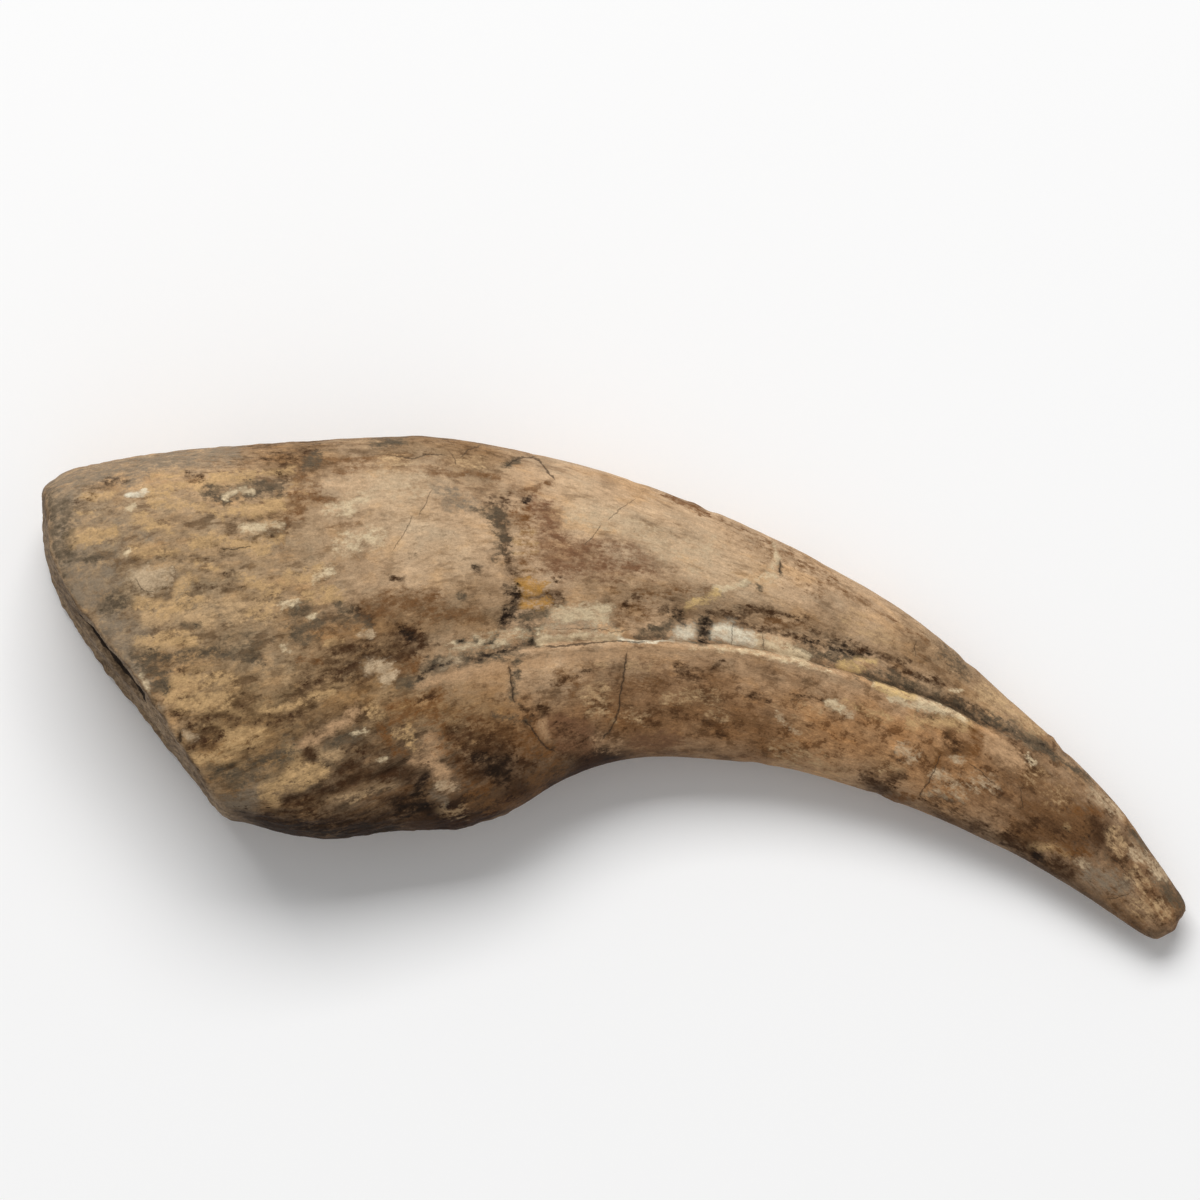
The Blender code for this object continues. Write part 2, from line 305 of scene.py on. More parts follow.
BROWN = (
    (0.9, 0.6, -49.4, 31.4, -47, 31), (1, 0.9, -49, 36, -49.5, 32, -50.3, 29.8, -49.4, 27.4),
    (0.6, 0.8, -51.5, 27.5, -52, 25, -52.6, 23), (0.5, 0.8, -46.5, 36, -40, 35.9, -33, 36.6),
    (0.6, 0.8, -50.5, 30.2, -46, 29.8, -43.4, 29.3), (0.5, 0.6, -45, 25.4, -40, 25.6),
    (0.7, 0.6, -39, -17.4, -32, -16), (1.6, 0.8, -22, -5, -17, -6.6),
    (1.6, 0.6, -15, -8, -10.4, -9.6, -8.6, -12, -13, -14.4), (1.2, 0.7, -22.4, -18.2, -17, -18.4, -12, -16),
    (0.6, 0.6, -6.4, 3.8, -4.8, 4), (0.8, 0.5, -11.8, 18.8, -10.6, 18.6),
    (0.6, 0.7, -16, 31, -12, 31.4, -10, 32.6), (0.8, 0.2, -32, 36.8, -27, 36.6),
    (0.4, 0.7, -30.4, 34.6, -27, 34.4), (0.4, 0.9, -29, 34, -23, 33.8, -18.4, 33),
    (0.5, 0.5, -44, 34, -36, 35), (1.4, 0.7, -38.6, 12, -33, 13.6, -28, 14.4),
    (1.2, 0.6, -31, 11.4, -22, 11.4), (0.8, 0.3, -37, 15, -33, 14.8), (1.7, 0.6, 0.6, 11.6, 5, 12.2),
    (0.5, 0.7, 5, 25, 7.4, 24), (0.4, 0.8, 7.6, 22.8, 9.6, 22.6), (0.6, 0.6, 7.4, 19.8, 9.4, 18.8),
    (1.1, 0.45, 0, 15.8, 5, 15, 10, 15.6, 14.4, 15.6), (1.6, 0.3, 19, 23.6, 27, 21, 36, 16),
    (0.4, 0.55, 13.6, 27.8, 20, 25, 28, 20.6, 36, 15.5, 44, 10.6, 51, 6.3), (1.5, 0.25, 24, 18.6, 32, 15),
    (0.8, 0.7, 24, 10.6, 30, 9.6), (1, 0.3, 48, 4.6, 53, 2.6), (2.6, 0.2, 2, 2, 12, 1, 20, 0),
    (1.1, 0.8, -8.6, 1.8, -6.4, 0.8, -6.8, -0.8), (1.1, 0.4, -1.6, -5.4, 0.4, -5.8),
    (1.1, 0.5, 2.6, 1, 5.6, 1.2, 7, 0.2), (0.9, 0.4, 6.2, -3.4, 7.8, -4.4),
    (1.1, 0.5, 11.4, -2.6, 14.4, -3.6), (1, 0.6, 20, -4.2, 24, -6), (0.8, 0.5, 31.4, -1, 34.4, -1.2),
    (2, 0.2, 14, -7, 26, -9, 38, -13), (1.2, 1, 52.6, -7, 53.4, -8.8, 51.6, -10.2, 55, -9.6),
    (2, 0.8, 63.4, -13.2, 66, -14.6, 71, -17.4), (1.4, 0.9, 65, -19, 70, -20, 74, -19.6),
    (2, 1, 65, -22, 70, -22.6, 74, -22), (0.8, 0.6, 79, -35.4, 83, -37.6),
)
PLUM = (
    (1.6, 1, -9.4, -6, -5, -6.6, -4.4, -8.4, -8, -8.8),
    (1.8, 0.9, -12.4, 28.6, -10, 26.4, -10.6, 22, -9, 19.6), (1.7, 0.8, -9, 21.2, -5.4, 21.6),
    (1.9, 0.7, -6, 19, 0, 19.2, 6, 19.4), (1.2, 0.6, -4, 23, 3, 22.4), (1.2, 1, 3.6, -8.4, 9, -8.4),
)
TAN = (
    (1.1, 1, -73.5, 11, -68, 11.7, -65, 10.8), (0.6, 0.8, -73, 6.4, -69.7, 6.6),
    (2.4, 0.6, -64, 12.5, -55, 12.5), (1, 0.5, -51, 1.8, -48.6, 1.6), (1.2, 0.7, -45.6, -10.4, -43.4, -10.2),
    (0.7, 0.5, -45.5, -17.8, -40, -16.6), (1.1, 0.5, -38.6, -15.8, -35, -15.2),
    (1.6, 0.3, -37.4, -3.2, -33, -0.6), (1.2, 0.4, -27, -19.4, -24, -19.6), (1, 0.35, -3.4, 3.6, -1.2, 3.8),
    (1.1, 0.5, -36.4, 36, -33.4, 36), (1.1, 0.5, -24.4, 35.4, -21.4, 35.4), (1.8, 0.45, 37, 10.6, 43, 7.6),
    (1.4, 0.7, 58, -0.6, 62, -3, 66, -6.4), (1.4, 0.35, 12.8, -0.9, 15.6, -1.4),
    (1.1, 0.35, 2.6, 3.7, 5.2, 3.4), (1.3, 0.4, 2.8, -4.4, 4.8, -4.6), (1.2, 0.3, 15.4, -4.2, 17, -4.8),
    (1.1, 0.6, -4.4, -1, -2, -0.4), (1.4, 0.35, -3, -3.8, -0.6, -4), (1, 0.5, 8, -2, 10.6, -1.2),
    (2.2, 0.35, 26, -10, 34, -12.6), (1.4, 0.25, 26, -2.6, 32, -3.6), (1.1, 0.35, 42.2, -12.4, 44.6, -12.8),
    (2, 0.3, 66, -14, 71, -18), (1.2, 0.6, 78.2, -22.8, 79.2, -25), (1.1, 0.5, 81.6, -29, 83, -30.6),
    (1.6, 0.5, 82.8, -34.2, 86.4, -34.8),
)
PINK = (
    (0.8, 0.9, -50.4, -9.4, -46, -7.5, -42.5, -5.6, -40.5, -3.6),
    (0.8, 0.8, -31, 0.6, -25.5, 2, -20, 3.2, -17, 3.4), (1.3, 0.8, -29, -7.6, -28.2, -9.4, -31, -11.6),
    (1.2, 0.9, -28.4, -11.8, -26.6, -13.6, -26.2, -15), (1.3, 0.5, -2.6, -8.4, 0, -8.8),
    (0.9, 0.9, -11.4, -5.6, -10.8, -7.6), (0.8, 0.8, -14.4, 3.4, -8, 5, 0, 5.4, 7, 5.6),
    (0.5, 0.9, 8, 6.4, 16, 5.8, 22, 4.9), (1.5, 0.9, 58.4, -8, 61, -9.6, 63, -11.2),
)
OCHRE = (
    (0.7, 0.7, -83, 30.3, -79, 30.8), (0.7, 0.8, -74, 31.2, -68, 31.8, -63.5, 31.9),
    (0.9, 1, -63, 32.9, -57.5, 33.3), (0.5, 0.8, -72, 33.6, -68.5, 33.6), (0.6, 0.9, -55.5, 34, -50.5, 34.4),
    (0.7, 0.4, -50.8, 32, -48.6, 31.6), (0.6, 0.4, -84.5, 27.6, -80, 27.9),
    (1.1, 1, -85.2, 23.6, -79.3, 24.3), (0.9, 0.9, -75, 26.8, -72.5, 26, -70.3, 25.2),
    (0.7, 0.8, -72.5, 29.4, -67.5, 28.8), (0.7, 0.7, -65.5, 28.4, -62.3, 27.6),
    (1, 1, -60, 28.2, -56.5, 28, -52.8, 29), (1, 0.9, -66, 22.9, -61.5, 23.4),
    (0.9, 0.9, -60.5, 22.8, -55, 22.2), (0.6, 0.8, -55.5, 23.4, -52.2, 23.6),
    (0.9, 0.7, -75.5, 21.6, -69.5, 21.2), (0.6, 0.7, -65.5, 19.6, -62.8, 19),
    (0.8, 1, -69, 15.7, -67.3, 16.6, -66.8, 17.4), (1.1, 0.9, -74.5, 13.8, -70, 12.6, -66.5, 13.7),
    (0.9, 1, -74.4, 7.3, -71, 7.7, -66.5, 7.8), (1, 0.7, -58, 17.2, -53.5, 15.2),
    (1.1, 0.8, -51, 17.3, -47, 18.3), (0.9, 0.6, -57, 11.5, -53.5, 12.8), (0.9, 0.9, -48, 14.4, -43, 15),
    (0.5, 0.6, -45.5, 7, -42.5, 7.3), (1.2, 0.8, -70, 0.8, -64, 1.8, -60.5, 1),
    (1.3, 0.9, -69.5, -1, -67.5, -2.8, -62, -1.8), (1, 0.9, -67, -11, -61, -11, -59.8, -10.2),
    (1.1, 0.9, -62, -7.7, -55.6, -6.6), (0.8, 0.8, -61, -9.4, -56, -8.4),
    (0.7, 0.6, -60, -3.8, -52, -3, -44, 0), (1.1, 0.9, -51, -9.6, -50.6, -11.8, -47.5, -13),
    (0.9, 1, -54.6, -15.6, -51, -14.2, -46, -13.4), (1, 0.9, -55, -17, -53.5, -18.4),
    (0.6, 0.7, -52.5, -16.2, -49, -15.6), (0.9, 0.6, -34.5, -7, -32.4, -6.6, -32.2, -9),
    (0.8, 0.7, -38.6, -3.2, -36.6, -4), (0.4, 0.7, -15.6, 23, -12, 22.8),
    (0.4, 0.7, -15.6, 21.3, -12.4, 21.4), (0.4, 0.5, -14.8, 19, -12.6, 18.8),
    (0.4, 0.6, -15.4, 24.6, -12.4, 24.4), (0.5, 0.6, 36, -1.8, 40, -3.8, 43, -4.6),
    (0.9, 0.9, 47, -5.4, 52, -5.1, 56, -5.9), (0.7, 0.9, 66, -25.2, 69.4, -24.8, 71, -26),
    (0.4, 0.8, 70.6, -21.8, 71.6, -22),
)
RUST = (
    (0.7, 0.5, -49.5, 4.4, -46.3, 4.7), (1.1, 0.8, -34.4, 3.6, -31.4, 4, -31.6, 2.8),
    (0.9, 0.5, -35.6, -3, -31, -1.6, -27.4, -0.2), (0.6, 0.7, -35, -5, -31, -3.9, -28, -3.4),
    (0.8, 0.7, -36.6, -6, -35.6, -8.4, -33.4, -10.6), (3, 0.5, -26, -8, -12, -9),
    (2, 0.35, -34, -3.5, -26, -3), (1.3, 0.6, -24, -12.6, -23, -15.6, -20, -15.4),
    (1.3, 0.5, -14.4, 28, -13.8, 24, -13.6, 18.6), (0.6, 0.7, -16.2, 27.4, -13.6, 26.8),
    (0.5, 0.9, 8, 30.3, 11, 29.2, 14.8, 27.8), (0.8, 0.9, 56.4, -6.6, 57.4, -9, 56.4, -10),
    (0.6, 0.7, 43, -17, 47, -17.2), (0.5, 0.7, 51.2, -10.6, 50, -13.4, 48.6, -16.4),
    (1.2, 0.7, 70, -25, 73.6, -25.6), (0.6, 0.7, 71, -19, 74, -19.3, 76.4, -19.3),
)
UMBER = (
    (0.8, 0.52, -82, 31, -79.5, 32.3, -77.3, 32.8), (0.7, 0.52, -84.2, 29, -83, 29.3),
    (0.8, 0.52, -67, 33.4, -65, 33.1), (0.7, 0.52, -53, 33.6, -51.2, 33.3),
    (0.6, 0.6, -60.5, 26.2, -56, 26.7, -54, 27),
    (0.6, 0.52, -60.5, 24.5, -56.5, 23.4, -53.5, 24.4, -51.5, 25.3), (0.7, 0.6, -62.7, 22.6, -61.7, 21.7),
    (0.6, 0.5, -61.4, 29.5, -58.6, 29.6), (0.8, 0.6, -75.4, 19.6, -74.6, 19),
    (0.5, 0.7, -75.6, 15.4, -72.6, 14.2, -70, 14.9, -69, 17, -69.6, 19), (0.5, 0.6, -61.5, 17.8, -60, 17.8),
    (0.6, 0.52, -61.5, 15.6, -58.5, 15.9), (0.6, 0.52, -66, 16, -63, 15.7), (0.5, 0.45, -69, 20.4, -64, 20.2),
    (0.6, 0.68, -68.5, 2.6, -67.6, 2.7), (0.5, 0.38, -59, 4.2, -57, 4.4),
    (1.6, 0.6, -49, 1, -44.5, 2.4, -40, 4.2), (0.8, 0.6, -44, 6.3, -40, 6.6),
    (1.1, 0.6, -54.5, 36.3, -51, 36.2, -47.2, 37.6), (0.8, 0.7, -41, 12.2, -38.4, 10.8),
    (0.7, 0.7, -69, -4.3, -67, -4), (0.6, 0.7, -65.5, -4.9, -61.5, -4.3, -59.5, -5),
    (0.8, 0.7, -59, -2.8, -57, -3.6), (0.9, 0.9, -67, -6, -63.5, -6.6, -62.4, -7.6, -64, -8.7, -66.6, -9.4),
    (0.8, 0.8, -64.8, -7, -64.6, -8.2), (0.8, 0.6, -54, -5.6, -51, -5.2),
    (0.6, 0.6, -60, -6, -54, -4.6, -49, -3.6), (1.2, 0.35, -60, -11, -56, -9),
    (0.8, 0.9, -48.2, -10.4, -47.4, -11), (1.1, 0.8, -42.6, -12.6, -40.2, -12.4),
    (1, 0.9, -51.5, -18.4, -46, -16.6, -41, -14.6, -35, -13.8, -31, -13.2), (2, 0.4, -54, -21, -42, -21.4),
    (1.5, 0.9, -59, -20.8, -50, -22, -42, -22, -33, -21.4, -29.4, -21.2), (1.2, 0.5, -41.6, -9.8, -36.5, -10),
    (1.1, 0.8, -50, -19.2, -46.6, -18.6), (2, 0.45, -35, -18.6, -29, -17.6),
    (1.3, 0.7, -40, 4.6, -37, 5.6, -34.6, 5), (2.2, 0.25, -38, 3, -33, 7),
    (1.2, 1, -33.8, 8.6, -31, 8.4, -30.6, 6.8, -33, 6.3), (0.8, 0.5, -29.8, 7.8, -28, 7.6),
    (0.5, 0.6, -30.5, -1.8, -28.6, -1), (1, 0.9, -35, -18, -31.5, -18.4), (1.1, 0.8, -24.6, -6.6, -22, -8.6),
    (1.6, 0.8, -22.8, -9, -17.4, -9.6), (1.5, 0.9, -22.2, -12.8, -19.6, -13.4),
    (2.2, 0.35, -23, -11, -17, -11.5), (1.8, 0.4, -24, -6.4, -17, -7), (1.2, 0.8, -17, -14, -14.6, -16),
    (0.6, 0.8, -14.6, -12, -12.4, -12), (0.8, 0.6, -8.4, -10.4, -6, -11.4), (0.6, 0.8, -9, -6.2, -8.2, -6.4),
    (1.2, 0.5, -7.8, -7.2, -5.4, -8.2), (0.9, 0.8, -14, -3, -12.6, -4, -10.8, -3.2),
    (0.7, 0.6, -9.6, 1, -7.4, 1.4), (0.6, 0.6, -6, 2.2, -4, 2.6),
    (1, 0.7, -19.6, 29.4, -18, 28.6, -16.6, 29.6),
    (0.8, 1, -18.2, 26.6, -17.2, 24, -17.2, 21, -16.2, 18.8, -14.8, 17.4),
    (0.6, 0.9, -15, 14.7, -12.6, 14.4, -9, 14.4), (0.4, 0.6, -12, 15.4, -11, 15),
    (0.6, 0.8, -13.6, 14.5, -10.6, 14.6), (0.8, 1, -9.8, 13.8, -8.8, 13.2),
    (0.5, 0.8, -34.8, 17.3, -33, 17.2), (0.3, 0.7, -32.4, 21, -31, 21), (0.4, 0.9, -9.4, 17, -8.8, 17.1),
    (0.5, 0.7, 1.6, 14, 1.8, 12.2), (0.4, 0.7, 2.8, 14.6, 3.6, 14), (0.5, 0.8, 7.4, 12.4, 8.6, 13.4),
    (0.8, 0.8, 14.8, 11.6, 17, 12.2, 20, 11.4), (0.5, 0.6, 16, 10.9, 18.2, 10.8),
    # Most umber strokes of the next three rows run along the groove's upper wall, from x 19 to 58: partly
    # stain, partly painted shade.
    (0.4, 0.9, 19, 9.9, 23, 9.5, 27, 8.4, 30, 8), (0.6, 0.8, 20, 12.6, 25, 12, 30, 11),
    (0.5, 0.6, 31, 9.2, 36, 7.6, 40, 6), (0.5, 0.8, 38, 5.8, 42, 5, 46, 4.2), (0.6, 0.6, 31, 6.9, 33.6, 6.2),
    (0.5, 0.9, 43.4, 2.9, 48, 1.7, 51.6, 0.7), (0.5, 0.9, 52, -1.4, 55, -2.4, 58.4, -3.8),
    (0.9, 0.7, 10, 3.4, 11, 2.4, 13.4, 1.8), (0.35, 0.9, 15, 2.5, 17.2, 4.4), (0.6, 0.6, 9.8, -4.6, 11, -4),
    (0.4, 0.7, 14.4, -5.2, 15.2, -5.8), (0.5, 0.7, 16.2, -7, 17, -7.4), (0.6, 0.6, 20, -0.6, 24, -1.6),
    (0.6, 0.5, 28, -1.4, 33, -1.6), (0.5, 0.7, 47.6, -3.6, 50, -4.6), (0.8, 0.8, 52.4, -7.4, 53.6, -9.2),
    (0.9, 0.5, 48.4, -16.8, 54, -18.2), (0.8, 0.9, 39.4, -14, 42, -15.6, 45, -14.2),
    (0.3, 0.6, 45, -11.6, 43.4, -10.6), (0.9, 0.5, 50, -18.6, 60, -23),
    (0.9, 0.7, 63.6, -21.6, 67, -21, 70, -22.2), (2.4, 0.3, 66, -22, 73, -23),
    (1.2, 1, 62, -23.6, 67, -27, 71, -29), (0.8, 0.9, 75.4, -20.6, 76, -22.4, 76.2, -23.8),
)
SLATE = (
    (1.3, 0.6, -88.8, 30.8, -88.4, 22, -87.2, 15), (0.9, 0.7, -86.3, 29, -85.8, 25, -86.5, 21),
    (1.2, 0.9, -63.5, 31, -60, 30.2, -56, 31.8, -53, 31.6), (0.8, 0.6, -86.5, 20.7, -79.5, 20.6),
    (1.3, 0.8, -80, 13.2, -77, 14), (0.5, 0.6, -73.5, 20.2, -71, 20), (0.5, 0.9, -67.7, 9.9, -65.5, 9.9),
    (0.8, 0.8, -50.5, 12.3, -48.5, 12.8), (1.1, 0.9, -50, 9, -46.5, 10.2), (0.7, 0.7, -50, 7.2, -46, 8.2),
    (1, 0.8, -75, 5.2, -68, 5, -62, 5.6, -56, 5), (0.9, 0.3, -61, 7.9, -53, 8),
    (1.3, 0.9, -73.2, 3.2, -71, 2.4, -71.2, 0.6), (0.9, 1, -48.6, 35.2, -46.6, 36.4),
    (0.8, 0.9, -43.3, 13, -41.5, 12.4), (0.9, 0.7, -43.5, 10.8, -39, 10.3),
    (1.3, 0.8, -62.8, -13, -60.4, -13.6), (1.4, 0.7, -60, -14.4, -56, -12.6, -52.5, -10, -50.6, -8.6),
    (0.8, 0.8, -52, -12, -50.8, -11), (1, 0.9, -44.8, -8.8, -42.8, -8.1, -40.5, -6.8),
    (0.8, 0.9, -33.6, 0.4, -30.8, 1.4), (0.8, 0.9, -29.4, 3.6, -27.6, 4.6),
    (0.7, 0.8, -28.6, 3, -24, 4, -19, 4.9, -16, 5.9), (1.1, 0.5, -29, 3.2, -24, 5.2, -19, 6.2, -14, 7),
    (0.5, 0.7, -24.5, 7.4, -21, 7.2, -18.6, 8.2), (0.7, 0.7, -15.2, 6, -15.6, 2, -15.8, -2),
    (0.8, 0.5, -19, -4.4, -16, -4.6, -13.6, -5.6), (0.6, 0.8, -21.6, 28, -19.4, 27.4),
    (1.3, 0.7, -18.8, 27.6, -17.8, 24, -17.6, 21), (0.8, 1, -14.6, 11.4, -11, 11.9),
    (1, 0.9, -14, 9.2, -12.4, 9, -12.8, 7.4), (0.6, 1, -16.8, 35.2, -15.8, 35.8),
    (0.6, 0.9, -38, 38.6, -33, 38.9), (0.5, 0.8, -24.2, 14.4, -22.6, 14), (0.35, 0.9, 19.9, 16.6, 21, 16.5),
    (0.4, 0.8, 22.3, 16.2, 23, 15.6), (0.4, 0.9, 25.9, 20, 26.2, 18.2), (0.8, 1, 4, 8.4, 8, 9.2, 9.6, 10.6),
    (1.3, 0.8, 14, 10.4, 14.4, 7.8), (1, 0.9, 29.4, 6, 34.4, 5.1, 37, 4.9),
    (0.9, 1, 38.6, 2.4, 43, 1.3, 46, 0.4, 50, -1.3, 54, -3),
    (0.9, 0.9, 54, -3.2, 57, -4.2, 60, -5.2, 63, -6.8, 66, -8.6),
    (0.7, 0.9, 66, -8.7, 69, -10.2, 72, -12.4, 75, -15), (1.1, 0.7, 51.6, 5.8, 53.4, 4.2, 55, 2.6),
    # The thin slate stroke from x 12 to 35 runs just above the lip: a painted shadow line in the groove.
    (0.25, 0.7, 12, 7.5, 18, 7.2, 24, 6.2, 30, 4.8, 35, 3.5), (0.6, 0.7, 81, -22.4, 84, -25.6),
    (0.8, 1, 85.6, -30, 87.6, -32.4, 89.2, -34), (0.5, 0.4, 77, -26.4, 79, -27.8),
)
PALE = (
    (2, 1, -73.6, 17.1, -71.8, 17.4), (0.7, 0.8, -67.2, -7.2, -66.4, -7.6),
    (1, 0.9, -38.4, 3.6, -35.2, 3.2, -36, 1.6), (0.6, 0.7, -40, 9, -37.8, 8.4),
    (0.7, 0.6, -27.4, 3.6, -25, 4.4), (0.7, 0.6, -27.6, -15.4, -24.6, -15.6), (2.2, 0.6, -37, 32.4, -31, 32),
    (1.8, 0.6, -6, 27.4, 0, 26.2, 7, 23.4), (1.8, 0.6, 8, 21.2, 15, 22, 13, 18.4),
    (0.6, 0.8, 36, -3.6, 37, -4.2), (0.35, 0.9, 25.6, -4, 27, -5.6, 28.8, -7.2),
    (0.9, 0.9, 45, -9.4, 46.8, -10.8), (0.7, 0.8, 50.4, -13.4, 52, -13.8), (0.5, 0.9, 53.4, -11, 54.4, -11.2),
    (0.4, 0.8, 48.6, -16.4, 49.4, -16.7), (1.4, 0.35, 51, -15.4, 55, -16.4),
    (1.3, 0.45, 56.6, -14.2, 59, -15.2), (0.8, 0.6, 74.8, -16, 77.4, -18, 79.6, -20),
    (0.9, 0.7, 81.6, -25.4, 84.4, -27.4, 85.8, -29.4), (0.6, 0.8, 73, -27.6, 74.2, -27.4),
)
CREAM = (
    (0.7, 0.75, -58.5, 25, -55, 25.7, -52.7, 25.4), (0.4, 0.9, -76.5, 28.4, -75.8, 29),
    (0.4, 0.9, -76.9, 21.2, -76.3, 21.5), (0.4, 0.9, -61.2, 30.5, -57.2, 31.4),
    (0.5, 0.8, -52, 13, -50, 13.5), (0.4, 0.8, -48.2, 11.3, -47, 11.6), (0.4, 0.7, -52.6, 6, -51.4, 6.3),
    (0.7, 0.7, -47, 17.2, -44.5, 18.4), (1, 0.7, -44.8, 28, -42, 28.6, -40.2, 29.6),
    (1.5, 0.7, -42.5, 22.6, -38, 23.6), (0.5, 0.7, -74.4, 2, -73.2, -0.4), (0.4, 0.8, -41, -6.9, -40.3, -7.1),
    (0.4, 0.8, -39.2, -6.4, -38.8, -7), (0.4, 0.8, -37, -11.6, -36.3, -11.4),
    (0.9, 0.55, -25, 6.8, -20, 7.4, -15.5, 8.6, -11, 8.4), (1.3, 1, -8.6, 11.4, -5, 12, -1.8, 11.6),
    (0.5, 1, -11.6, 7.7, -6, 8.4, 1, 8.3), (0.5, 1, 16, 16, 17, 15.9),
    (0.35, 0.9, 17.4, 15.6, 20, 16.5, 21, 16.8), (0.5, 0.7, 22.6, 17, 25, 17.6),
    (0.5, 0.8, 24.6, 18.8, 25.4, 19.8), (0.3, 0.8, 25.2, 22.6, 25.6, 20.4),
    (0.8, 0.95, 22.4, 7.7, 25, 6.8, 27.8, 5.7, 30, 4.8), (0.3, 0.7, 52.8, -0.2, 55, -0.3),
    # This row's stroke and the first of the next run along the lip's ridge from x 12 to 55: a painted
    # highlight.
    (0.3, 0.5, 12, 6.5, 18, 6.2, 24, 5.2, 28.8, 4, 35.1, 2.3),
    (0.35, 1, 41, 0.5, 45.8, -1.1, 51.2, -3, 54.6, -5), (0.6, 1, 34.2, -2.2, 35.3, -3.1),
    (0.5, 1, 43.8, -1.4, 46.6, -2.6, 48.4, -2.9, 51.4, -3.7), (0.4, 0.9, 65, -10.4, 65.7, -11.5),
)
YELLOW = (
    (0.5, 1, 11.4, 13, 14, 13.9, 16.2, 15.2), (0.5, 1, 35.4, 3.8, 38.8, 3.2), (0.4, 0.8, 38, 4.7, 41.2, 4),
    (0.5, 1, 41.4, 0.4, 44, -0.5, 47, -1.4),
)
AMBER = (
    (0.9, 1, -14.7, 16.7, -13.4, 16.1), (0.7, 1, -12.4, 16.6, -11, 16), (0.6, 1, -14, 15, -12.6, 15.3),
    (0.7, 1, -14.4, 13.5, -13, 13), (0.6, 0.9, -11.8, 13.4, -10.4, 13.7),
)
WHITE = (
    (0.35, 1, -76.2, 30.3, -73.8, 30.9), (1.2, 1, 16.8, 9.2, 17.8, 9), (0.9, 0.9, 19.4, 8.3, 21.4, 7.8),
    (1, 0.8, 10.2, 8.9, 12, 8.9), (0.3, 1, 0.6, 8, 3, 7.7, 6, 7.4, 9, 7.6),
)
BLACK = (
    # The first black stroke of this row, along the base's lower edge, is partly stain, partly painted shade.
    (1.5, 0.7, -60, -20.8, -52, -22.4, -44, -23, -35, -22.2), (0.6, 0.8, -33.4, 8.8, -31.4, 7.6),
    (0.35, 0.8, -30.6, 1.6, -28.2, 3.4, -25.4, 4), (0.3, 0.8, -24.2, 7.6, -21.8, 7.1),
    (0.3, 0.8, -20.2, 7, -18.2, 8.3), (0.35, 0.7, -22.4, 4.6, -18.6, 5.4, -15.8, 6.4),
    (0.35, 0.8, -13.8, 10, -12.8, 8.6, -13.2, 7), (0.8, 0.9, -29.8, -13.4, -31, -17, -29, -19.6),
    (1.1, 0.8, -34, -18.9, -31, -19.1), (0.7, 1, -21.8, -10.8, -20.8, -11.1),
    (1.2, 0.9, -19.6, -11.6, -16.8, -11.4, -17.4, -13.8, -19.4, -13.2),
    (0.9, 1, -16.4, 15.4, -15.4, 14.4, -16.2, 12.6, -17.2, 10.6), (0.3, 0.5, -13.4, 14.3, -11.6, 14.6),
    (0.4, 0.9, -14.2, 29.6, -13.4, 30), (0.4, 0.9, -22, 19, -21.4, 18.9), (0.9, 0.8, 9.4, 12, 10.4, 10.8),
    # The black strokes of this row and the next from x 30 to 70 lie in the groove above the lip: partly
    # stain, partly painted shade.
    (0.8, 0.8, 14.2, 10.2, 14.4, 7.6), (0.7, 0.55, 30, 7.8, 33, 6.9, 36, 6.7),
    (0.5, 0.6, 35.4, 6.2, 38, 5.2, 41, 4.9), (0.4, 0.3, 44, 0.9, 50, -1, 56, -3.6, 66, -8.4, 70, -10.6),
    (0.6, 0.7, 66, -26.4, 67.4, -27),
)

# Cracks and stains of the side that lies down, which nobody sees while the claw rests.
UNDER_CRACKS = (
    (
        (0.14, 0.25, -4, 35, -2.5, 29, -4.5, 22, -1.5, 15, -2, 9), (0.15, 0.3, 24, 25, 22, 19, 25, 12, 22, 5),
        (0.3, 0.5, -72, -4, -69.5, -8, -66, -12.5), (0.12, 0.2, 55, 3, 52, -4, 54, -10),
    ),
    (
        (0.12, 0.2, -30, 38, -31.5, 31, -28, 24), (0.16, 0.25, -12, 6, -11, 0, -13.5, -6, -11, -12),
        (0.1, 0.15, 8, 9, 20, 8.4, 31, 5.6, 40, 1.8), (0.1, 0.15, 72, -17, 75, -22, 73, -28),
    ),
    (
        (0.1, 0.12, -55, 30, -47, 29, -38, 31), (0.1, 0.12, 36, 3, 34, -4, 36.5, -10),
    ),
)
UNDER_STAIN_COUNT = 150
UNDER_STAIN_ENDS = (-88, 88)
UNDER_STAIN_LENGTHS = (1.0, 5.5)
# The plan's upper and lower edges, within which those stains lie, as (x, y).
UPPER_EDGE = ((-90, 30), (-50, 38), (-10, 36), (30, 20), (88, -32))
LOWER_EDGE = ((-90, 20), (-70, -8), (-45, -23), (-20, -20), (5, -11), (40, -16), (88, -40))
UNDER_TONES = (
    "ochre", "ochre", "ochre", "grey", "grey", "brown", "brown", "umber", "umber", "slate", "rust", "plum",
    "pink", "pale", "black",
)
# Direction of the fibres in degrees, as (x, degrees).
FIBRE_SLOPE = ((-90, 4), (-40, 8), (0, -12), (40, -28), (70, -42), (90, -55))

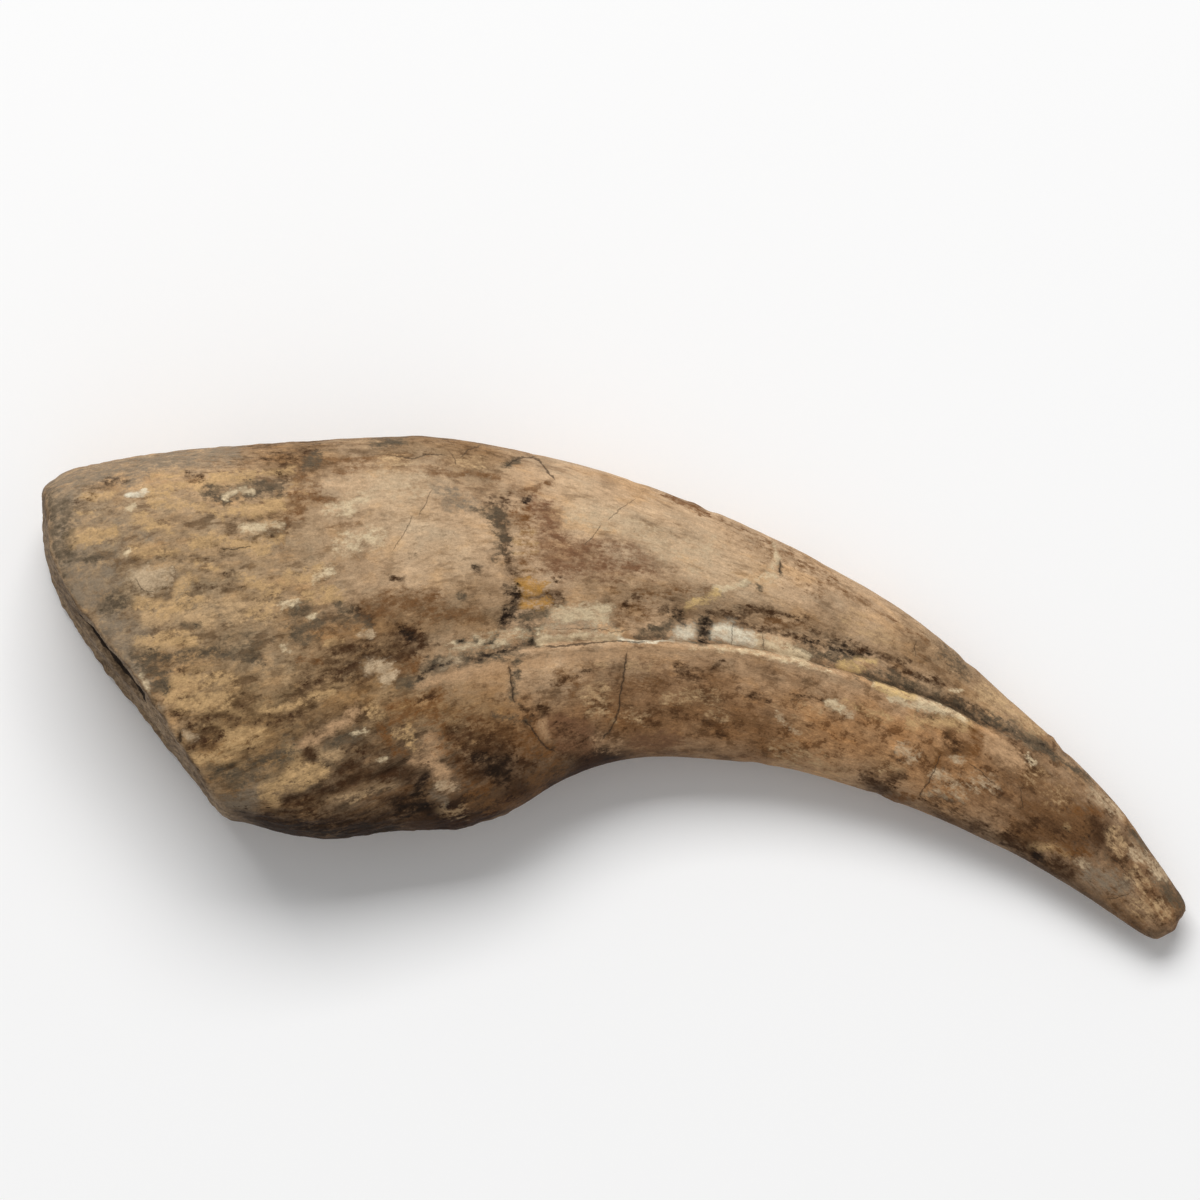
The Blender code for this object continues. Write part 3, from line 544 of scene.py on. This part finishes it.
# Broad tints, laid one over the other: tone, half width, strength and places.
TINTS = (
    ("base", 22, 1, -95, 20, -62, 14, -58, -8),
    ("base", 12, 0.9, -58, -10, -34, -10),
    ("clay", 8, 0.7, -64, -4, -52, -4, -44, 0, -36, 4),
    ("clay", 6, 0.8, -62, -9, -54, -9),
    ("lobe", 7.5, 1, -16, -4, 20, -4, 45, -9, 62, -16),
    ("fair", 4, 0.3, -16, 1, -8, 3),
    ("deep", 5, 0.4, -2, -1, 14, -3, 24, -5),
    ("murk", 4.5, 0.9, -46, 9, -30, 12, -20, 12.5),
    ("murk", 3, 0.5, -4, 14.6, 8, 14.6, 18, 12.4, 36, 7),
    ("murk", 5, 0.7, 47, 6, 56, 1),
    ("murk", 4.5, 0.9, -58, 38, -44, 39, -20, 37.5),
    ("tip", 8, 1, 64, -14, 88, -34),
    ("deep", 3, 0.35, -41, 4, -34, 5.5),
    ("deep", 4, 0.6, 66, -22.5, 74, -22.5),
    # This deep stroke along the lower edge of the base and waist is partly dark colour, partly painted shade.
    ("deep", 5.5, 1, -62, -22, -45, -25, -25, -22, -14, -18, 0, -13),
    ("deep", 8.5, 0.65, -42, -12, -30, -13, -16, -12),
    ("clay", 5, 0.6, -37, -3, -28, -3, -18, -4),
    # These two deep strokes along the lower edge of the blade are partly dark colour, partly painted shade.
    ("deep", 2.5, 0.5, -2, -12, 22, -12.5),
    ("deep", 2.5, 0.7, 40, -17, 48, -20, 70, -31, 84, -40),
    ("fair", 6, 0.6, -36, 30, -26, 22),
    ("fair", 4.5, 0.5, -4, 28, 12, 22, 24, 16),
)

# Plain colours, from 0 to 255 as they look on a screen.
GROUND = {
    "skin": (184, 153, 120),
    "fair": (198, 170, 136),
    "base": (152, 127, 97),
    "clay": (134, 105, 70),
    "lobe": (156, 116, 78),
    "murk": (132, 103, 72),
    "tip": (118, 89, 62),
    # Dark brown of the deep tint, partly painted shade where it runs along the lower edges.
    "deep": (52, 29, 12),
}
MOTTLING = {"skin": 0.25, "fair": 0.1, "base": 0.4, "lobe": 1.35, "tip": 1.7}
# Stains, from the lowest layer to the topmost: colour, how ragged noise makes the edges, and the stains.
PIGMENTS = {
    "grey": ((132, 116, 96), 2.2, GREY),
    "brown": ((112, 79, 48), 2.6, BROWN),
    "plum": ((120, 86, 60), 2.2, PLUM),
    "tan": ((190, 158, 118), 2.4, TAN),
    "pink": ((186, 150, 113), 2.2, PINK),
    "ochre": ((188, 154, 109), 3.2, OCHRE),
    "rust": ((112, 74, 38), 2.6, RUST),
    "umber": ((64, 41, 21), 2.6, UMBER),
    "slate": ((88, 75, 58), 2.6, SLATE),
    "pale": ((190, 166, 134), 2.4, PALE),
    "cream": ((208, 187, 152), 2.6, CREAM),
    "yellow": ((204, 172, 118), 3.0, YELLOW),
    "amber": ((178, 132, 68), 3.2, AMBER),
    "white": ((216, 206, 182), 1.8, WHITE),
    "black": ((34, 22, 12), 2.6, BLACK),
}
# How far a stain fades, in half widths, and how noise moves stains and tints, with seeds for X and Y.
STAIN_SPREAD = 1.25
STAIN_WANDER = (0.55, 2.2, 2, (21, 25))
TINT_WANDER = (4.0, 9, 3, (31, 35))
# How far a full stain stands out of the bone, everywhere and more so on the rough base.
STAIN_RELIEF = {"white": 0.12, "cream": 0.12, "black": -0.22, "umber": -0.1}
ROUGH_STAIN_RELIEF = {"ochre": 0.16, "tan": 0.16, "umber": -0.16, "slate": -0.16}
# Dull, spongy bone of the joint face, from dark to light.
JOINT_TONES = ((112, 93, 72), (160, 136, 108))
# Strength and colour inside a crack and inside the slit of the joint face.
CRACK_SHADE = (0.75, (54, 42, 31))
RIM_CRACK_SHADE = (0.95, (32, 22, 14))
# Factors of red, green and blue that darken specks and hollows, and that lighten rubbed ridges.
DARKENING = (0.4, 0.35, 0.3)
RUBBED = (1.3, 1.28, 1.24)
BONE_ROUGHNESS = 0.7
BONE_SPECULAR = 0.12
BUMP_STRENGTH = 0.6
BUMP_HEIGHT = 0.16


def linear(colour):
    return np.array([((value / 255 + 0.055) / 1.055) ** 2.4 for value in colour])


class Surface:
    """The fine mesh as arrays in millimetres: where each vertex is, which way it faces, and what marks it.

    Its plan is the claw as it looks from the camera's height, and all marks are placed on that plan.
    """

    def __init__(self, mesh):
        self.points = read_vertices(mesh) / MM
        self.facing = read_vertices(mesh, "normal")
        closeness = 1 - self.points[:, 2:] / CAMERA_HEIGHT
        self.plan = VIEW_CENTRE + (self.points[:, :2] - VIEW_CENTRE) / closeness
        self.upside = smooth_step(self.facing[:, 2], -0.5, -0.05)
        along, across = fibre_coordinates(self.plan)
        self.grain = np.stack([along, across, self.points[:, 2]], axis=1)
        self.joint = self.joint_share()
        edge = across_line(self.plan, ROUGH_EDGE)[0] + self.wander(*ROUGH_EDGE_WANDER)
        self.rough = np.maximum(smooth_step(edge, -ROUGH_EDGE_FADE, ROUGH_EDGE_FADE), self.joint)
        self.masks = self.paint_stains()
        self.cracks = [self.trace_cracks(upper, under) for upper, under in zip(CRACKS, UNDER_CRACKS)]
        self.cracks.append(self.trace_rim_crack())

    def joint_share(self):
        outward = np.array(JOINT_OUTWARD) / np.linalg.norm(JOINT_OUTWARD)
        near_end = smooth_step(self.points @ outward, *JOINT_START)
        return near_end * smooth_step(self.facing @ outward, *JOINT_FACING)

    def wander(self, distance, cell, octaves, seed):
        """How far noise moves something at each vertex."""
        return distance * layered_noise(self.points / cell, octaves, seed)

    def moved_plan(self, distance, cell, octaves, seeds):
        """The plan with its places moved about a little, so that marks get uneven edges."""
        return self.plan + np.stack([self.wander(distance, cell, octaves, seed) for seed in seeds], axis=1)

    def paint_stains(self):
        """How fully each tone covers each vertex."""
        plan, under, masks = self.moved_plan(*STAIN_WANDER), under_stains(), {}
        for name, (_, _, upper) in PIGMENTS.items():
            bare = np.ones(len(plan))
            for stains, share in ((upper, self.upside), (under.get(name, ()), 1 - self.upside)):
                for width, strength, *places in stains:
                    reach = across_line(plan, places)[0] / (STAIN_SPREAD * width)
                    bare *= 1 - strength * share * np.exp(-(reach**2))
            masks[name] = (1 - bare) * (1 - self.joint)
        return masks

    def trace_cracks(self, upper, under):
        """Signed distance from the nearest crack, its half width there and its depth."""
        across, width, depth = (np.zeros(len(self.plan)) for _ in range(3))
        nearest = np.full(len(self.plan), np.inf)
        clear = 1 - self.joint
        for cracks, side in ((upper, self.upside * clear), (under, (1 - self.upside) * clear)):
            for half_width, deep, *places in cracks:
                signed, share = across_line(self.plan, places)
                closer = (np.abs(signed) < nearest) & (side > 0.5)
                taper = plateau(share, *CRACK_TAPER) * smooth_step(side, 0.5, 0.6)
                taper *= smooth_step(np.abs(signed), *CRACK_FADE)
                nearest = np.where(closer, np.abs(signed), nearest)
                across = np.where(closer, signed, across)
                width = np.where(closer, half_width * taper, width)
                depth = np.where(closer, deep * taper, depth)
        return across, width, depth

    def trace_rim_crack(self):
        """The same for the slit that follows the joint's upper rim, a little way down its face."""
        above = self.points[:, 2] - RIM_CRACK_HEIGHT + self.wander(*RIM_CRACK_WANDER)
        run = plateau(self.plan[:, 1], *RIM_CRACK_REACH)
        share = run * self.joint * smooth_step(np.abs(above), *RIM_CRACK_FADE)
        return above, RIM_CRACK_WIDTH * share, RIM_CRACK_DEPTH * share

    def tinted(self):
        """Plain colour of each vertex, before stains, and how mottled it is."""
        colour = np.tile(linear(GROUND["skin"]), (len(self.plan), 1))
        mottled = np.full(len(self.plan), MOTTLING["skin"])
        plan = self.moved_plan(*TINT_WANDER)
        for name, width, strength, *places in TINTS:
            share = strength * np.exp(-((across_line(plan, places)[0] / width) ** 2))
            # The deep tint is partly painted shade on the lower edges: full where the bone faces up, weaker
            # as it turns downwards.
            if name == "deep":
                share *= 0.4 + 0.6 * smooth_step(self.facing[:, 2], -0.25, 0.2)
            colour += share[:, None] * (linear(GROUND[name]) - colour)
            mottled += share * (MOTTLING.get(name, 1.0) - mottled)
        return colour, mottled


def under_stains():
    """Stains by tone, strewn along the fibres of the side that lies down, and widest on the base."""
    random = np.random.default_rng(12)
    stains = {tone: [] for tone in UNDER_TONES}
    for _ in range(UNDER_STAIN_COUNT):
        along = random.uniform(*UNDER_STAIN_ENDS)
        lower, upper = (np.interp(along, *zip(*edge)) for edge in (LOWER_EDGE, UPPER_EDGE))
        start = np.array((along, random.uniform(lower, upper)))
        slope = math.radians(np.interp(along, *zip(*FIBRE_SLOPE)) + random.normal(0, 9))
        reach = random.uniform(*UNDER_STAIN_LENGTHS) * np.array((math.cos(slope), math.sin(slope)))
        tone = UNDER_TONES[random.integers(len(UNDER_TONES))]
        width = random.uniform(0.5, 1.5 if along < -45 else 1.1)
        stains[tone].append((width, random.uniform(0.5, 1.0), *start, *(start + reach)))
    return stains


def carve(surface):
    """Adds up the relief of the bone's surface, in millimetres along the normals."""
    rough = surface.rough * (1 - surface.joint)
    bones = {"all": 1.0, "rough": rough, "smooth": 1 - surface.rough, "joint": surface.joint}
    height = pits(surface) - ROUGH_SINK * rough
    for bone, coordinates, amount, cell, octaves, seed in RELIEF:
        height += bones[bone] * amount * layered_noise(getattr(surface, coordinates) / cell, octaves, seed)
    for part, relief in ((1.0, STAIN_RELIEF), (rough, ROUGH_STAIN_RELIEF)):
        for name, amount in relief.items():
            height += part * amount * surface.masks[name]

    above, share = across_line(surface.plan, LIP_LINE)
    ends = plateau(share, *LIP_TAPER) * (0.3 + 0.7 * surface.upside)
    for amount, middle, half_width in LIP_PROFILE:
        height += ends * amount * np.exp(-(((above - middle) / half_width) ** 2))
    for x, y, radius, depth in CHIPS:
        reach = np.linalg.norm(surface.plan - (x, y), axis=1)
        height -= depth * np.exp(-2 * (reach / radius) ** 2)

    for across, width, depth in surface.cracks:
        height -= depth * np.exp(-((across / (width + 0.3)) ** 2))
    return height


def pits(surface):
    """Small hollows, long along the fibres, thick on the rough base and rare on the blade."""
    random = np.random.default_rng(4)
    tree = KDTree(len(surface.points))
    for index, point in enumerate(surface.points):
        tree.insert(point, index)
    tree.balance()
    height = np.zeros(len(surface.points))
    for centre in random.choice(len(surface.points), PIT_TRIES, replace=False):
        share = surface.rough[centre]
        if random.random() > 0.12 + 0.88 * share:
            continue
        radius = random.uniform(0.45, 0.7 + 0.5 * share)
        depth = random.uniform(0.05, 0.12 + 0.18 * share)
        near = [index for _, index, _ in tree.find_range(surface.points[centre], 3 * radius)]
        reach = (surface.grain[near] - surface.grain[centre]) / np.multiply(PIT_SHAPE, radius)
        height[near] -= depth * np.exp(-((reach**2).sum(axis=1)) * 1.5)
    return height


def store(mesh, name, values):
    kind = "FLOAT" if values.ndim == 1 else "FLOAT_VECTOR"
    attribute = mesh.attributes.new(name, kind, "POINT")
    attribute.data.foreach_set("value" if values.ndim == 1 else "vector", values.astype(np.float32).ravel())


def fill(node, values):
    for name, value in values.items():
        node.inputs[name].default_value = value


class Graph:
    """Short ways to add nodes to one material."""

    def __init__(self, material):
        self.tree = material.node_tree

    def node(self, kind, **settings):
        made = self.tree.nodes.new(kind)
        for name, value in settings.items():
            setattr(made, name, value)
        return made

    def put(self, socket, value):
        if isinstance(value, bpy.types.NodeSocket):
            self.tree.links.new(value, socket)
        else:
            socket.default_value = value

    def attribute(self, name, output="Fac"):
        return self.node("ShaderNodeAttribute", attribute_name=name).outputs[output]

    def math(self, operation, *values):
        made = self.node("ShaderNodeMath", operation=operation)
        for socket, value in zip(made.inputs, values):
            self.put(socket, value)
        return made.outputs[0]

    def spread(self, value, middle, gain, base=0.0):
        """base + gain * (value - middle)"""
        return self.math("MULTIPLY_ADD", value, gain, base - gain * middle)

    def scaled(self, vector, scales):
        made = self.node("ShaderNodeVectorMath", operation="MULTIPLY")
        self.put(made.inputs[0], vector)
        made.inputs[1].default_value = scales
        return made.outputs[0]

    def noise(self, vector, scales, detail, roughness):
        made = self.node("ShaderNodeTexNoise")
        self.put(made.inputs["Vector"], self.scaled(vector, scales))
        fill(made, {"Scale": 1.0, "Detail": detail, "Roughness": roughness})
        return made.outputs[0]

    def between(self, value, low, high, top=1.0):
        """A smooth step from 0 at low to top at high."""
        made = self.node("ShaderNodeMapRange", interpolation_type="SMOOTHSTEP")
        for index, setting in enumerate((value, low, high, 0.0, top)):
            self.put(made.inputs[index], setting)
        return made.outputs[0]

    def mix(self, share, first, second, blend="MIX"):
        """Blends two colours, each a socket, a plain colour of three numbers, or four linear numbers."""
        made = self.node("ShaderNodeMix", data_type="RGBA", blend_type=blend)
        for index, value in ((0, share), (6, first), (7, second)):
            if isinstance(value, tuple) and len(value) == 3:
                value = (*linear(value), 1.0)
            self.put(made.inputs[index], value)
        return made.outputs[2]

    def multiply(self, share, colour, factors):
        return self.mix(share, colour, (*factors, 1.0), "MULTIPLY")


def fibre_streaks(graph, grain):
    broad = graph.noise(grain, (0.12, 0.62, 0.62), 4.0, 0.6)
    narrow = graph.noise(grain, (0.3, 1.6, 1.6), 4.0, 0.65)
    return graph.math("MULTIPLY_ADD", graph.math("SUBTRACT", narrow, 0.5), 0.9, broad)


def add_ground(graph, colour, place, grain, rough, streak):
    """Fibres, strong on the rough base and faint on the smooth skin, and mottling.

    A row says where, by which noise, where the change starts and is whole, its top share and its factors.
    """
    smooth_skin = graph.math("SUBTRACT", 1.0, rough)
    mottled = graph.attribute("mottled")
    cloud = graph.noise(place, (0.16, 0.2, 0.2), 5.0, 0.65)
    mottle = graph.noise(place, (0.42, 0.5, 0.5), 5.0, 0.7)
    hue = graph.noise(grain, (0.1, 0.28, 0.28), 4.0, 0.65)
    for zone, value, start, whole, top, factors in (
        (rough, streak, 0.52, 0.68, 0.7, (1.42, 1.36, 1.26)),
        (rough, streak, 0.48, 0.34, 0.8, (0.46, 0.41, 0.36)),
        (smooth_skin, streak, 0.54, 0.74, 0.5, (1.3, 1.32, 1.34)),
        (smooth_skin, streak, 0.46, 0.28, 0.55, (0.46, 0.4, 0.34)),
        (mottled, mottle, 0.5, 0.62, 0.8, (0.46, 0.4, 0.33)),
        (mottled, mottle, 0.47, 0.35, 0.6, (1.45, 1.5, 1.55)),
        (1.0, cloud, 0.5, 0.68, 0.5, (0.52, 0.47, 0.42)),
        (1.0, cloud, 0.48, 0.32, 0.5, (1.25, 1.28, 1.3)),
        (1.0, hue, 0.51, 0.64, 0.6, (1.1, 1.0, 0.84)),
        (1.0, hue, 0.49, 0.36, 0.6, (0.84, 0.9, 0.96)),
    ):
        share = graph.math("MULTIPLY", graph.between(value, start, whole, top), zone)
        colour = graph.multiply(share, colour, factors)
    return colour


def add_stains(graph, colour, grain, place):
    """The painted tones, with edges broken up along the fibres."""
    ragged = graph.noise(grain, (0.4, 1.4, 1.4), 5.0, 0.7)
    grainy = graph.noise(place, (1.3, 1.5, 1.5), 3.0, 0.7)
    edge = graph.math("ADD", graph.spread(grainy, 0.5, 0.7), graph.spread(ragged, 0.5, 1.0))
    patchy = graph.spread(graph.noise(grain, (0.5, 1.0, 1.0), 4.0, 0.7), 0.5, 2.2, 0.85)
    for name, (tone, raggedness, _) in PIGMENTS.items():
        mask = graph.attribute(name)
        cover = graph.math("MULTIPLY_ADD", edge, raggedness, mask)
        share = graph.math("MULTIPLY", graph.between(cover, 0.05, 1.0), patchy)
        share = graph.math("MULTIPLY", share, graph.between(mask, 0.0, 0.3))
        colour = graph.mix(share, colour, tone)
    return colour


def add_cracks(graph, colour, place):
    wobble = graph.spread(graph.noise(place, (0.9, 0.9, 0.9), 3.0, 0.6), 0.5, 0.9)
    for index, (share, tone) in enumerate([CRACK_SHADE] * len(CRACKS) + [RIM_CRACK_SHADE]):
        across = graph.math("ADD", graph.attribute(f"crack_across_{index}"), wobble)
        width = graph.attribute(f"crack_width_{index}")
        inside = graph.math("SUBTRACT", width, graph.math("ABSOLUTE", across))
        colour = graph.mix(graph.between(inside, -0.05, 0.14, share), colour, tone)
    return colour


def joint_face(graph, place):
    """The hollow face of the joint: dull, finely rough bone with a few broad, darker stains."""
    sponge = graph.noise(place, (1.1, 1.1, 1.1), 4.0, 0.65)
    broad = graph.noise(place, (0.11, 0.11, 0.11), 5.0, 0.65)
    pores = graph.noise(place, (2.2, 2.2, 2.2), 2.0, 0.6)
    colour = graph.mix(graph.between(sponge, 0.36, 0.64), *JOINT_TONES)
    colour = graph.multiply(graph.between(broad, 0.5, 0.62, 0.8), colour, (0.55, 0.5, 0.44))
    colour = graph.multiply(graph.between(broad, 0.46, 0.34, 0.6), colour, (1.25, 1.22, 1.14))
    return graph.multiply(graph.between(pores, 0.6, 0.7, 0.7), colour, (0.4, 0.36, 0.32))


def bone_material():
    material = bpy.data.materials.new("fossil_bone")
    material.use_nodes = True
    graph = Graph(material)
    shader = graph.tree.nodes["Principled BSDF"]
    grain = graph.attribute("grain", "Vector")
    place = graph.scaled(graph.node("ShaderNodeTexCoord").outputs["Object"], (1 / MM, 1 / MM, 1 / MM))
    rough = graph.attribute("rough")
    cavity = graph.attribute("cavity")
    streak = fibre_streaks(graph, grain)

    colour = add_ground(graph, graph.attribute("tint", "Color"), place, grain, rough, streak)
    colour = add_stains(graph, colour, grain, place)
    colour = graph.mix(graph.attribute("joint"), colour, joint_face(graph, place))
    speck = graph.noise(place, (1.5, 1.5, 1.5), 2.0, 0.7)
    colour = graph.multiply(graph.between(speck, 0.66, 0.76, 0.5), colour, DARKENING)
    # Hollows of the relief are made darker and its ridges lighter, by the cavity attribute.
    colour = graph.multiply(graph.between(cavity, -0.03, -0.2, 0.7), colour, DARKENING)
    colour = graph.multiply(graph.between(cavity, 0.03, 0.2, 0.5), colour, RUBBED)
    colour = add_cracks(graph, colour, place)
    fine = graph.noise(grain, (0.9, 3.2, 3.2), 3.0, 0.6)
    dust = graph.noise(place, (3.4, 3.4, 3.4), 2.0, 0.6)
    shade = graph.math("ADD", graph.spread(fine, 0.5, 0.7, 1.0), graph.spread(dust, 0.5, 0.6))
    colour = graph.mix(1.0, colour, shade, "MULTIPLY")
    graph.put(shader.inputs["Base Color"], colour)
    fill(shader, {"Roughness": BONE_ROUGHNESS, "Specular IOR Level": BONE_SPECULAR})

    bump = graph.node("ShaderNodeBump")
    relief = graph.math("ADD", fine, graph.math("MULTIPLY", dust, 0.6))
    relief = graph.math("MULTIPLY_ADD", graph.math("MULTIPLY", streak, rough), 2.0, relief)
    graph.put(bump.inputs["Height"], relief)
    fill(bump, {"Strength": BUMP_STRENGTH, "Distance": BUMP_HEIGHT * MM})
    graph.put(shader.inputs["Normal"], bump.outputs[0])
    return material


def build_claw(frame):
    claw, edges = fine_copy(frame["nodes"]["claw"], "claw_bone")
    surface = Surface(claw.data)
    height = carve(surface)
    carved = surface.points + height[:, None] * surface.facing
    low, high = (np.array(corner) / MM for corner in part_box("claw"))
    claw.data.vertices.foreach_set("co", (np.clip(carved, low, high) * MM).ravel())
    claw.data.update()
    claw.data.shade_smooth()
    level = relax(height[:, None], edges, LEVEL_ROUNDS)[:, 0]
    tint, mottled = surface.tinted()
    values = {"grain": surface.grain, "rough": surface.rough, "joint": surface.joint}
    values |= {"cavity": height - level, "tint": tint, "mottled": mottled, **surface.masks}
    for index, (across, width, _) in enumerate(surface.cracks):
        values |= {f"crack_across_{index}": across, f"crack_width_{index}": width}
    for name, value in values.items():
        store(claw.data, name, value)
    claw.data.materials.append(bone_material())
    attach(claw, "root")
    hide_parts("claw")


def build_floor():
    bpy.ops.mesh.primitive_plane_add(size=FLOOR_SIZE)
    floor = bpy.context.object
    floor.name = "floor"
    material = bpy.data.materials.new("paper")
    material.use_nodes = True
    shader = material.node_tree.nodes["Principled BSDF"]
    fill(shader, {"Base Color": (FLOOR_TONE, FLOOR_TONE, FLOOR_TONE, 1.0), "Roughness": 1.0})
    floor.data.materials.append(material)


def build_lights():
    world = bpy.data.worlds.new("studio")
    world.use_nodes = True
    fill(world.node_tree.nodes["Background"], {"Color": (1.0, 1.0, 1.0, 1.0), "Strength": SKY_STRENGTH})
    bpy.context.scene.world = world
    light = bpy.data.objects.new("window", bpy.data.lights.new("window", "AREA"))
    light.data.shape = "RECTANGLE"
    light.data.size, light.data.size_y = WINDOW_SIZE
    light.data.energy = WINDOW_POWER
    light.location = WINDOW_PLACE
    light.rotation_euler = (-Vector(WINDOW_PLACE)).to_track_quat("-Z", "Y").to_euler()
    bpy.context.scene.collection.objects.link(light)


def build_camera():
    camera = bpy.data.objects.new("camera", bpy.data.cameras.new("camera"))
    camera.data.lens = CAMERA_LENS
    camera.data.clip_end = CAMERA_REACH
    camera.data.sensor_width = SENSOR_WIDTH
    camera.location = (VIEW_CENTRE[0] * MM, VIEW_CENTRE[1] * MM, CAMERA_HEIGHT * MM)
    bpy.context.scene.collection.objects.link(camera)
    bpy.context.scene.camera = camera


build_claw(frame)
build_floor()
build_lights()
build_camera()
bpy.context.scene.view_settings.view_transform = "Standard"
